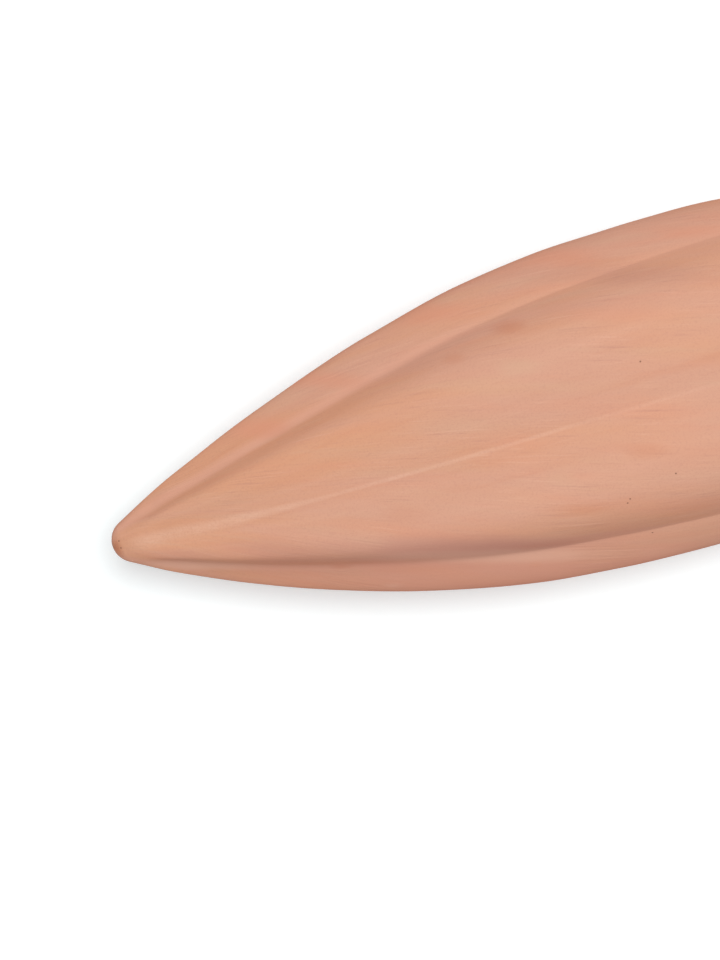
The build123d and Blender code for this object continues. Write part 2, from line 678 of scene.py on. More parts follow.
@dataclass(frozen=True)
class CorkFinish(Finish):
    """Natural cork with dark pores and faint growth lines."""

    name: str = "cork"
    diffuse_roughness: float = 0.8
    specular: float = 0.25
    roughness: Span = (0.82, 0.94)
    bump_strength: float = 0.5
    bump_depth: float = 0.25 * MM

    blotches: Noise = Noise(160.0, 3.0, 0.55)
    crumbs: Noise = Noise(1300.0, 3.0, 0.65)
    growth_lines: Noise = Noise((60.0, 60.0, 620.0), 2.0, 0.5)
    cell_scale: float = 900.0
    pale_blotches: Span = (0.30, 0.70)  # blotches where the pale starts, and where it is full

    crumb_relief: float = 0.7
    cell_relief: float = 0.3
    growth_relief: float = 0.25

    layers: tuple[Layer, ...] = (
        Layer(Pattern.GROWTH_LINES, 0.55, 0.74, 0.45, Tint.CORK_BROWN),
        Layer(Pattern.CRUMBS, 0.50, 0.30, 0.50, Tint.CORK_BROWN),
        Layer(Pattern.CELLS, 0.86, 0.98, 0.45, Tint.CORK_BROWN),
        Layer(Pattern.PORES, 0.12, 0.75, 0.92, Tint.CORK_PORE),
    )

    def make(self) -> bpy.types.Material:
        """Builds the material. The pores come from the mesh, where they are real hollows.

        Returns:
            The material.
        """
        material, maker, shader = new_material(self.name)
        place = Term(maker, maker.node("ShaderNodeTexCoord").outputs["Object"])
        crumbs = maker.noise(place, self.crumbs)
        growth_lines = maker.noise(place, self.growth_lines)
        cell_gap, cell_number = maker.cells(place, self.cell_scale)
        patterns = {
            Pattern.GROWTH_LINES: growth_lines,
            Pattern.CRUMBS: crumbs,
            Pattern.CELLS: cell_number,
            Pattern.PORES: maker.attribute("pore")[1],
        }

        pale = maker.rise(maker.noise(place, self.blotches), *self.pale_blotches)
        colour = maker.tinted(pale, Tint.CORK_TAN, Tint.CORK_PALE)
        colour = self.layered(maker, colour, patterns, {})
        height = crumbs * self.crumb_relief + cell_gap * self.cell_relief
        height = height + growth_lines * self.growth_relief
        self.dress(maker, shader, colour, maker.between(crumbs, self.roughness), height)
        return material


class LatheTree(NodeMaker):
    """A Geometry Nodes tree that turns a row of profile points into a skin round the X axis."""

    row_guard: float = 0.25  # keeps the number of a row from being cut to the one below
    column_guard: float = 0.5  # does the same for the number of a column

    def __init__(self, name: str, sizes: dict[str, float]) -> None:
        """Makes the tree and its named inputs.

        Args:
            name: Name of the tree.
            sizes: The tree's own inputs, by name.
        """
        super().__init__(bpy.data.node_groups.new(name, "GeometryNodeTree"))
        self.add_input("Profile", "NodeSocketGeometry")
        for label, size in sizes.items():
            kind = "NodeSocketInt" if isinstance(size, int) else "NodeSocketFloat"
            self.add_input(label, kind).default_value = size
        self.add_input("Material", "NodeSocketMaterial")
        self.tree.interface.new_socket("Skin", in_out="OUTPUT", socket_type="NodeSocketGeometry")
        self.start = self.node("NodeGroupInput")
        self.rows = self.profile_size()
        self.steps = self.given("Steps round")
        self.row, self.turn = self.grid_places()

    def add_input(self, label: str, kind: str) -> bpy.types.NodeTreeInterfaceSocket:
        """Gives the tree a named input."""
        return self.tree.interface.new_socket(label, in_out="INPUT", socket_type=kind)

    def given(self, label: str) -> Term:
        """One of the tree's own inputs."""
        return Term(self, self.start.outputs[label])

    def profile_size(self) -> Term:
        """Number of points in the profile.

        Returns:
            The number.
        """
        size = self.node("GeometryNodeAttributeDomainSize", component="MESH")
        self.feed(size.inputs["Geometry"], self.start.outputs["Profile"])
        return Term(self, size.outputs["Point Count"])

    def grid_places(self) -> tuple[Term, Term]:
        """Lays out a grid with a row for each profile point.

        Returns:
            Each point's row, and its share of a whole turn.
        """
        self.grid = self.node("GeometryNodeMeshGrid")
        self.feed(self.grid.inputs["Vertices X"], self.steps + 1)
        self.feed(self.grid.inputs["Vertices Y"], self.rows)
        index = Term(self, self.node("GeometryNodeInputIndex").outputs[0])
        column = self.math("FLOOR", (index + self.column_guard) / self.rows)
        return index - column * self.rows, column / self.steps

    def profile(self, name: str) -> Term:
        """A number that the profile stores for each row, read for each point of the grid.

        Args:
            name: Name of the profile's attribute.

        Returns:
            The number.
        """
        sample = self.node("GeometryNodeSampleIndex", data_type="FLOAT", domain="POINT")
        self.feed(sample.inputs["Geometry"], self.start.outputs["Profile"])
        self.feed(sample.inputs["Value"], self.stored(name))
        self.feed(sample.inputs["Index"], self.row + self.row_guard)
        return Term(self, sample.outputs["Value"])

    def stored(self, name: str) -> Term:
        """A number that is stored on each point.

        Args:
            name: Name of the attribute.

        Returns:
            The number.
        """
        made = self.node("GeometryNodeInputNamedAttribute", data_type="FLOAT")
        made.inputs["Name"].default_value = name
        return Term(self, made.outputs["Attribute"])

    def around(self, station: Term, radius: Term, angle: Term) -> Term:
        """The place at a station, a radius and an angle round the X axis from +Y."""
        across = radius * self.math("COSINE", angle)
        return self.vector(station, across, radius * self.math("SINE", angle))

    def store(self, skin: Term, name: str, value: Term, kind: str = "FLOAT") -> Term:
        """Stores a number or vector on each point of the skin.

        Args:
            skin: The geometry so far.
            name: Name of the attribute.
            value: What it holds.
            kind: Its data type.

        Returns:
            The geometry with the attribute.
        """
        made = self.node("GeometryNodeStoreNamedAttribute", data_type=kind, domain="POINT")
        self.feed(made.inputs["Geometry"], skin)
        made.inputs["Name"].default_value = name
        self.feed(made.inputs["Value"], value)
        return Term(self, made.outputs["Geometry"])

    def placed(self, skin: Term, position: Term) -> Term:
        """Moves each point of the skin to a position.

        Args:
            skin: The geometry so far.
            position: Where its points go.

        Returns:
            The moved geometry.
        """
        made = self.node("GeometryNodeSetPosition")
        self.feed(made.inputs["Geometry"], skin)
        self.feed(made.inputs["Position"], position)
        return Term(self, made.outputs["Geometry"])

    def merged(self, skin: Term) -> Term:
        """Closes the poles and the seam.

        Args:
            skin: The geometry so far.

        Returns:
            The closed geometry.
        """
        made = self.node("GeometryNodeMergeByDistance")
        self.feed(made.inputs["Geometry"], skin)
        made.inputs["Distance"].default_value = MERGE_DISTANCE
        return Term(self, made.outputs["Geometry"])

    def finish(self, skin: Term) -> None:
        """Closes poles and seam, smooths the shading and ends the tree.

        Args:
            skin: The geometry so far.
        """
        smooth = self.node("GeometryNodeSetShadeSmooth")
        self.feed(smooth.inputs["Geometry"], self.merged(skin))
        real = self.node("GeometryNodeRealizeInstances")
        self.feed(real.inputs["Geometry"], smooth.outputs["Geometry"])
        painted = self.node("GeometryNodeSetMaterial")
        self.feed(painted.inputs["Geometry"], real.outputs["Geometry"])
        self.feed(painted.inputs["Material"], self.given("Material"))
        end = self.node("NodeGroupOutput")
        self.feed(end.inputs["Skin"], painted.outputs["Geometry"])

    def applied(
        self, name: str, profile: bpy.types.Mesh, sizes: dict[str, float]
    ) -> bpy.types.Object:
        """Runs the tree on a profile and keeps the result as a plain mesh.

        Args:
            name: Name of the finished piece.
            profile: Mesh that holds the profile's points.
            sizes: The tree's own inputs, by name.

        Returns:
            The finished piece, at the origin.
        """
        piece = bpy.data.objects.new(name, profile)
        bpy.context.scene.collection.objects.link(piece)
        modifier = piece.modifiers.new("skin", "NODES")
        modifier.node_group = self.tree
        for item in self.tree.interface.items_tree:
            if item.item_type == "SOCKET" and item.in_out == "INPUT" and item.name in sizes:
                modifier[item.identifier] = sizes[item.name]
        bpy.context.view_layer.update()
        graph = bpy.context.evaluated_depsgraph_get()
        mesh = bpy.data.meshes.new_from_object(piece.evaluated_get(graph), depsgraph=graph)
        piece.modifiers.remove(modifier)
        piece.data = mesh
        mesh.name = name
        return piece


def profile_mesh(name: str, rows: list[dict[str, float]]) -> bpy.types.Mesh:
    """Stores profile rows as points with attributes.

    Args:
        name: Name of the mesh.
        rows: One dictionary of numbers for each row, all with the same keys.

    Returns:
        The mesh.
    """
    mesh = bpy.data.meshes.new(name)
    mesh.from_pydata([(row["station"], row["crest"], 0.0) for row in rows], [], [])
    for key in rows[0]:
        stored = mesh.attributes.new(f"row_{key}", "FLOAT", "POINT")
        stored.data.foreach_set("value", [row[key] for row in rows])
    return mesh


def grown_share(value: float, start: float, full: float) -> float:
    """Goes smoothly from 0 at the start to 1 where something is full."""
    t = min(max((value - start) / (full - start), 0), 1)
    return t * t * (3 - 2 * t)


@dataclass(frozen=True)
class Curve:
    """A smooth curve through values at given stations, which are in millimetres."""

    stops: tuple[tuple[float, float], ...]

    def at(self, station: float) -> float:
        """Value at a station in metres. Past the last stop it stays as it is there.

        Args:
            station: The station.

        Returns:
            The value.
        """
        for (before, low), (after, high) in zip(self.stops, self.stops[1:]):
            if station <= after * MM:
                return low + (high - low) * grown_share(station, before * MM, after * MM)
        return self.stops[-1][1]


@dataclass
class ClayPod:
    """The hollow clay pod: lobed skin, neck, rounded lip and the cavity inside it.

    Its outline is that of the CAD pod. The curves, the soft creases, the wobble and the twist
    are what a pod from a worn mould and a hand's wiping has besides.
    """

    belly_radius: float = 31.2 * MM
    belly_station: float = 113.5 * MM
    ogive_lead: float = 4.6 * MM
    ogive_exponent: float = 2.18
    nose_station: float = 2.3 * MM
    shoulder_length: float = 62.5 * MM
    neck_radius: float = 19.5 * MM
    neck_length: float = 20.0 * MM
    neck_flare_radius: float = 60.0 * MM
    lip_round: float = 1.2 * MM
    wall: float = 4.5 * MM
    cavity_station: float = 21.0 * MM
    cavity_full_station: float = 34.0 * MM

    lobe_count: int = 6
    crease_share: float = 0.238
    crease_exponent: float = 1.15
    crease_full_station: float = 10.0 * MM
    inner_crease_share: float = 0.75
    inner_crease_turn: float = 108.0  # degrees off the round, for each whole share of depth
    flank_turn: Curve = Curve(
        ((0, 14.0), (42, 14.0), (66, 16.0), (92, 12.8), (116, 9.6), (146, 4.8), (176, 0.0))
    )  # degrees off the round
    tip_softness: float = 2.20 * MM
    belly_softness: float = 0.12 * MM
    soft_station: float = 30 * MM  # the creases are softest up to here
    sharp_station: float = 90 * MM  # and sharpest from here

    bow: Curve = Curve(
        (
            (0, 0.33),
            (11, 0.06),
            (22, -0.19),
            (39, -0.32),
            (56, -0.20),
            (75, 0.00),
            (90, 0.14),
            (104, 0.05),
            (114, 0.00),
        )
    )  # millimetres sideways
    swell: Curve = Curve(
        (
            (0, 0.00),
            (11, 0.05),
            (22, -0.10),
            (39, -0.16),
            (56, 0.04),
            (75, 0.38),
            (90, 0.26),
            (104, 0.05),
            (114, 0.02),
            (130, 0.06),
            (176, 0.00),
        )
    )  # millimetres outwards
    wobble: float = 0.22 * MM
    wobble_waves: Noise = Noise(34.0, 2.0, 0.5)
    wobble_radius: float = 6 * MM  # it is full from this radius on, and none on the axis
    neck_wobble: float = 0.35  # the neck's share of it
    calmer_run: float = 40 * MM  # past the belly the wobble starts to fade after this
    tip_twist: float = 2.6  # degrees
    least_wipe_radius: float = 6 * MM

    steps_round: int = 240
    lobe_guard: float = 0.001  # keeps the number of a lobe from being cut to the one below
    top_crease: Span = (0.90, 0.96)  # how upright its sides are, as a sine
    crease_crowding: float = 0.80
    nose_rows: int = 16
    outer_rows: int = 250
    outer_crowding: float = 1.15
    neck_rows: int = 24
    lip_rows: int = 7
    rim_rows: int = 4
    inner_rows: int = 70
    inner_crowding: float = 1.5

    marks: tuple[ClayMark, ...] = (
        ClayMark(81.0, 45.8, 9.5, 3.8, Tint.CLAY_RED, 0.34),
        ClayMark(69.9, 39.8, 6.5, 2.8, Tint.CLAY_RED, 0.18),
        ClayMark(98.2, -15.9, 10.0, 3.4, Tint.CLAY_RED, 0.20),
        ClayMark(74.3, -70.0, 2.6, 2.2, Tint.CLAY_ORANGE, 0.60),
        ClayMark(48.1, -81.6, 4.5, 1.4, Tint.CLAY_BONE, 0.40),
        ClayMark(39.9, -61.2, 5.5, 2.0, Tint.CLAY_RED, 0.34),
        ClayMark(53.1, -19.7, 10.0, 5.0, Tint.CLAY_RED, 0.10),
        ClayMark(0.9, -5.3, 3.2, 5.0, Tint.CLAY_RED, 0.50),
        ClayMark(30.7, 76.0, 24.0, 4.4, Tint.CLAY_RUST, 0.55),
        ClayMark(46.0, 76.0, 28.0, 4.4, Tint.CLAY_RUST, 0.58),
        ClayMark(68.0, 78.0, 34.0, 5.0, Tint.CLAY_RUST, 0.50),
        ClayMark(92.0, 80.0, 34.0, 5.0, Tint.CLAY_RUST, 0.45),
        # Painted warm shade: a redder tint over the whole lower outer lobe, which lies in shade.
        ClayMark(66.0, -78.0, 130.0, 22.0, Tint.CLAY_WARM_SHADE, 0.55),
        # Painted shade: the next three grey patches darken the flank above the lower crease, most
        # near the tip.
        ClayMark(13.0, -29.0, 22.0, 2.6, Tint.CLAY_GREY, 0.34),
        ClayMark(33.0, -31.0, 40.0, 5.5, Tint.CLAY_GREY, 0.40),
        ClayMark(60.0, -39.0, 46.0, 6.0, Tint.CLAY_GREY, 0.36),
        ClayMark(99.4, 68.0, 20.0, 3.2, Tint.CLAY_RED, 0.12),
        ClayMark(118.0, 67.5, 24.0, 3.0, Tint.CLAY_RUST, 0.40),
        ClayMark(99.0, 33.5, 30.0, 3.6, Tint.CLAY_RUST, 0.32),
        ClayMark(83.5, -29.7, 14.0, 3.4, Tint.CLAY_RED, 0.15),
        # Partly the grey tint of the clay under the upper crease, and partly painted shade that
        # darkens that flank.
        ClayMark(104.0, 53.0, 60.0, 5.0, Tint.CLAY_GREY, 0.22),
        # Painted shade: darkens the flank above the lower crease.
        ClayMark(74.0, -48.0, 40.0, 4.0, Tint.CLAY_GREY, 0.10),
        ClayMark(80.0, 26.0, 9.0, 3.4, Tint.CLAY_SAND, 0.35),
        ClayMark(82.0, -17.5, 8.0, 4.0, Tint.CLAY_SAND, 0.30),
        # Painted light: the last two pale patches lift the shade in and beside the lower crease.
        ClayMark(68.0, -60.0, 60.0, 3.8, Tint.CLAY_BONE, 0.46),
        ClayMark(15.0, -62.0, 26.0, 2.8, Tint.CLAY_BONE, 0.46),
    )
    pits: tuple[tuple[float, float], ...] = (
        (101.4, 15.0),
        (102.1, -25.9),
        (92.5, -32.4),
        (93.1, -30.9),
        (96.3, -62.5),
        (1.6, -4.8),
        (1.6, 18.2),
    )

    @property
    def neck_station(self) -> float:
        """Where the shoulder ends and the round neck starts."""
        return self.belly_station + self.shoulder_length

    @property
    def rim_station(self) -> float:
        """Where the mouth's ring lies."""
        return self.neck_station + self.neck_length

    @property
    def bore_radius(self) -> float:
        """Radius of the mouth."""
        return self.neck_radius - self.wall

    @property
    def axis_height(self) -> float:
        """Height of the pod's axis over the table, which is that of the CAD cork."""
        low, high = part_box("cork_stopper")
        return (low.z + high.z) / 2

    @property
    def tip_x(self) -> float:
        """Where station zero lies along X."""
        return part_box("spike_body")[1].x - self.rim_station

    def crest_radius(self, station: float) -> float:
        """Radius of the lobe crests: an ogive up to the belly, then an S-curve down to the neck.

        Args:
            station: The place along the axis.

        Returns:
            The radius.
        """
        if station <= self.belly_station:
            share_left = (self.belly_station - station) / (self.belly_station + self.ogive_lead)
            return self.belly_radius * (1 - share_left**self.ogive_exponent)
        t = min((station - self.belly_station) / self.shoulder_length, 1)
        fall = 6 * t**5 - 15 * t**4 + 10 * t**3
        flare = (t**3 - 2 * t**4 + t**5) / 2
        level = self.belly_radius - (self.belly_radius - self.neck_radius) * fall
        return level + flare * self.shoulder_length**2 / self.neck_flare_radius

    def crest_slope(self, station: float) -> float:
        """How steeply the crests rise along the axis.

        Args:
            station: The place along the axis.

        Returns:
            The rise for each metre along the axis.
        """
        probe = 0.01 * MM
        rise = self.crest_radius(station + probe) - self.crest_radius(station - probe)
        return rise / (2 * probe)

    def crease_depth(self, station: float) -> float:
        """How far the creases lie below the crests.

        Args:
            station: The place along the axis.

        Returns:
            The depth.
        """
        along = station / self.neck_station
        share = self.crease_share * max(1 - along**self.crease_exponent, 0)
        grown = grown_share(station, self.nose_station, self.crease_full_station)
        return share * grown * self.crest_radius(station)

    def inner_crease_depth(self, station: float) -> float:
        """How far the cavity's soft ridges stand in from its crests."""
        grown = grown_share(station, self.cavity_station, self.cavity_full_station)
        return self.inner_crease_share * self.crease_depth(station) * grown

    def inner_radius(self, station: float) -> float:
        """Crest radius of the cavity, with its blunt end rounded.

        Args:
            station: The place along the axis.

        Returns:
            The radius.
        """
        wall_across = self.wall * math.sqrt(1 + self.crest_slope(station) ** 2)
        crease_radius = self.crest_radius(station) - self.crease_depth(station)
        end_run = self.cavity_full_station - self.cavity_station
        left = max(self.cavity_full_station - station, 0) / end_run
        dome_share = math.sqrt(max(1 - left**2, 0))
        return dome_share * (crease_radius - wall_across + self.inner_crease_depth(station))

    @staticmethod
    def row(
        station: float, crest: float, depth: float = 0.0, inside: float = 0.0, wobble: float = 0.0
    ) -> dict[str, float]:
        """One row of the profile, before what the hand and the mould add to it.

        Args:
            station: The row's place along the axis.
            crest: Radius of the lobe crests.
            depth: How far the creases lie below them.
            inside: 1 in the bore and the cavity, 0 elsewhere.
            wobble: Strength of the unevenness, from 0 to 1.

        Returns:
            The row.
        """
        return {
            "station": station,
            "crest": crest,
            "depth": depth,
            "inside": inside,
            "wobble": wobble,
        }

    def nose(self) -> list[dict[str, float]]:
        """Rows of the ball end, from the tip to where the ogive takes over.

        Returns:
            The rows, in order.
        """
        radius = self.crest_radius(self.nose_station)
        offset = radius * self.crest_slope(self.nose_station)
        ball_radius = math.hypot(radius, offset)
        centre = self.nose_station + offset
        shoulder_angle = math.atan2(radius, offset)
        angles = [shoulder_angle * step / self.nose_rows for step in range(self.nose_rows)]
        return [
            self.row(centre - ball_radius * math.cos(a), ball_radius * math.sin(a), wobble=1.0)
            for a in angles
        ]

    def outside(self) -> list[dict[str, float]]:
        """Rows of the lobed outside and of the round neck.

        Returns:
            The rows, in order.
        """
        rows = []
        run = self.neck_station - self.nose_station
        for step in range(self.outer_rows):
            share = (step / (self.outer_rows - 1)) ** self.outer_crowding
            s = self.nose_station + run * share
            calm = grown_share(s, self.belly_station + self.calmer_run, self.neck_station)
            wobble = self.neck_wobble + (1 - self.neck_wobble) * (1 - calm)
            rows.append(self.row(s, self.crest_radius(s), self.crease_depth(s), wobble=wobble))
        for drop in self.neck_drops():
            s = self.neck_station + drop
            rows.append(self.row(s, self.neck_radius, wobble=self.neck_wobble))
        return rows

    def neck_drops(self) -> list[float]:
        """Distances of the neck's rows from its ends."""
        straight = self.neck_length - self.lip_round
        return [straight * step / self.neck_rows for step in range(1, self.neck_rows)]

    def lip(self) -> list[dict[str, float]]:
        """Rows of the rounded lip, from the neck's outside to the bore.

        Returns:
            The rows, in order.
        """
        turn = self.lip_round
        quarter = [math.pi / 2 * step / self.lip_rows for step in range(self.lip_rows + 1)]
        centre = self.rim_station - turn
        outer_centre = self.neck_radius - turn
        inner_centre = self.bore_radius + turn
        outer = [(centre + turn * math.sin(a), outer_centre + turn * math.cos(a)) for a in quarter]
        inner = [(centre + turn * math.cos(a), inner_centre - turn * math.sin(a)) for a in quarter]
        gap = outer[-1][1] - inner[0][1]
        steps = range(1, self.rim_rows)
        flat = [(self.rim_station, outer[-1][1] - gap * step / self.rim_rows) for step in steps]
        return [self.row(s, r) for s, r in outer + flat + inner]

    def cavity(self) -> list[dict[str, float]]:
        """Rows of the bore and the cavity, from the lip to the cavity's blunt end.

        Returns:
            The rows, in order.
        """
        bore_start = self.rim_station - self.lip_round
        rows = [self.row(bore_start - d, self.bore_radius, inside=1.0) for d in self.neck_drops()]
        run = self.neck_station - self.cavity_station
        for step in range(self.inner_rows):
            left = (1 - step / (self.inner_rows - 1)) ** self.inner_crowding
            s = self.neck_station - run * (1 - left)
            rows.append(self.row(s, self.inner_radius(s), self.inner_crease_depth(s), inside=1.0))
        return rows

    def rows(self) -> list[dict[str, float]]:
        """The whole profile, from the tip over the lip to the cavity's end.

        Returns:
            The rows, in order.
        """
        rows = self.nose() + self.outside() + self.lip() + self.cavity()
        self.add_wiping(rows)
        for row in rows:
            station = row["station"]
            row["bow"] = self.bow.at(station) * MM
            row["crest"] += self.swell.at(station) * MM * row["wobble"]
            row["flank_turn"] = math.radians(self.flank_turned(row))
            sharpened = grown_share(station, self.soft_station, self.sharp_station)
            change = (self.belly_softness - self.tip_softness) * sharpened
            row["softness"] = self.tip_softness + change
        return rows

    def flank_turned(self, row: dict[str, float]) -> float:
        """How far the flanks turn off the round in a row, in degrees.

        Args:
            row: The row, with its station, crest, depth and inside.

        Returns:
            The turn, which is none where the row is round.
        """
        if row["depth"] <= 0:
            return 0.0
        if row["inside"]:
            return self.inner_crease_turn * row["depth"] / row["crest"]
        grown = grown_share(row["station"], self.nose_station, self.crease_full_station)
        return grown * self.flank_turn.at(row["station"])

    def add_wiping(self, rows: list[dict[str, float]]) -> None:
        """Adds to each row how far the wiping marks and the lobes have turned round the pod.

        Args:
            rows: The profile's rows, from the tip on.
        """
        slant = math.tan(math.radians(WIPE_SLANT))
        turn = 0.0
        last = rows[0]["station"]
        for row in rows:
            turn += (row["station"] - last) * slant / max(row["crest"], self.least_wipe_radius)
            row["wipe_turn"] = turn
            last = row["station"]
            to_belly = min(last / self.belly_station, 1)
            row["twist"] = math.radians(self.tip_twist * (1 - to_belly))

    def sizes(self) -> dict[str, float]:
        """Inputs of the pod's tree, by name.

        Returns:
            The sizes.
        """
        return {
            "Steps round": self.steps_round,
            "Lobes": self.lobe_count,
            "Crowding": self.crease_crowding,
            "Wobble": self.wobble,
            "Axis height": self.axis_height,
            "Tip": self.tip_x,
            "Tag radius": self.belly_radius,
        }

    def tree(self) -> LatheTree:
        """Builds the Geometry Nodes tree of the pod's skin.

        Returns:
            The maker of the tree.
        """
        maker = LatheTree("lobed_skin", self.sizes())
        station = maker.profile("row_station")
        radius, facing, gap = self.lobed(maker)
        angle = facing + maker.profile("row_twist")
        rough = maker.noise(maker.around(station, radius, angle), self.wobble_waves)
        wobble = rough * maker.given("Wobble") * maker.profile("row_wobble")
        radius = radius - wobble * maker.rise(radius, 0.0, self.wobble_radius)
        bow = maker.profile("row_bow")
        shift = maker.vector(maker.given("Tip"), bow, maker.given("Axis height"))
        place = maker.moved(maker.around(station, radius, angle), shift)
        skin = self.tagged(maker, station, facing, gap)
        maker.finish(maker.placed(skin, place))
        return maker

    def lobed(self, maker: LatheTree) -> tuple[Term, Term, Term]:
        """Works out the lobed section through each row.

        A lobe is a cubic curve from crease to crease, as in the CAD pod. Its parameter is t, and
        its middle line runs out from the pod's axis.

        Args:
            maker: The maker of the tree.

        Returns:
            Each point's radius, its angle before the twist, and its distance from a crease.
        """
        lobes = maker.given("Lobes")
        half = math.pi / lobes
        crest = maker.profile("row_crest")
        crease = crest - maker.profile("row_depth")

        lobe_turn = maker.turn * lobes
        lobe = maker.math("FLOOR", lobe_turn + self.lobe_guard)
        plain = maker.math("MAXIMUM", lobe_turn - lobe, 0.0)
        t = plain - maker.given("Crowding") * maker.math("SINE", plain * math.tau) / math.tau

        near = crease * maker.math("COSINE", half)
        half_chord = crease * maker.math("SINE", half)
        lean = maker.profile("row_flank_turn")
        reach = (crest - near) / CUBIC_RISE_SHARE
        side_reach = reach / maker.math("TANGENT", half + lean)
        bulge = 3 * t * (1 - t)
        out = near + bulge * reach
        side = half_chord * (2 * t * t * (3 - 2 * t) - 1) + side_reach * bulge * (1 - 2 * t)

        side_gap = half_chord - maker.math("ABSOLUTE", side)
        gap = maker.math("SQRT", (out - near) * (out - near) + side_gap * side_gap)
        soft = maker.profile("row_softness")
        fill = maker.math("TANGENT", lean) * (maker.math("SQRT", gap * gap + soft * soft) - gap)
        radius = maker.math("SQRT", out * out + side * side) + fill
        facing = maker.math("ARCTAN2", side, out) + (lobe * 2 + 1) * half - math.pi / 2
        return radius, facing, gap

    def tagged(self, maker: LatheTree, station: Term, facing: Term, gap: Term) -> Term:
        """Stores on the skin what the clay's finish reads.

        Args:
            maker: The maker of the tree.
            station: Each point's station.
            facing: Its angle before the twist.
            gap: Its distance from a crease.

        Returns:
            The skin with its attributes.
        """
        tag = maker.given("Tag radius")
        upright = maker.math("ABSOLUTE", maker.math("SINE", facing))
        skin = Term(maker, maker.grid.outputs["Mesh"])
        skin = maker.store(skin, "station", station)
        skin = maker.store(skin, "crease_gap", gap)
        skin = maker.store(skin, "seam", maker.rise(upright, *self.top_crease))
        wiped = maker.around(station, tag, facing - maker.profile("row_wipe_turn"))
        skin = maker.store(skin, "wipe_place", wiped, "FLOAT_VECTOR")
        lengthwise = maker.around(station, tag, facing)
        return maker.store(skin, "length_place", lengthwise, "FLOAT_VECTOR")

    def place_on_skin(self, skin: BVHTree, station: float, turn: float) -> Vector:
        """Finds a point of the skin.

        Args:
            skin: The finished skin.
            station: The point's station, in millimetres.
            turn: Its turn round the axis from straight up, in degrees.

        Returns:
            The point.
        """
        outward = Vector((0, math.sin(math.radians(turn)), math.cos(math.radians(turn))))
        axis = Vector((self.tip_x + station * MM, 0, self.axis_height))
        hit, _, _, _ = skin.ray_cast(axis + outward * 2 * self.belly_radius, -outward)
        return hit

    def build(self, finish: ClayFinish) -> bpy.types.Object:
        """Makes the pod, dresses it and sets it on its body.

        Args:
            finish: The clay's finish.

        Returns:
            The finished piece.
        """
        profile = profile_mesh("pod_profile", self.rows())
        piece = self.tree().applied("clay_pod", profile, self.sizes())
        points = [vertex.co for vertex in piece.data.vertices]
        skin = BVHTree.FromPolygons(points, [tuple(face.vertices) for face in piece.data.polygons])
        material = finish.make(
            [(self.place_on_skin(skin, mark.station, mark.turn), mark) for mark in self.marks],
            [self.place_on_skin(skin, station, turn) for station, turn in self.pits],
        )
        piece.data.materials.clear()
        piece.data.materials.append(material)
        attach(piece, "pod")
        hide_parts("spike_body")
        return piece


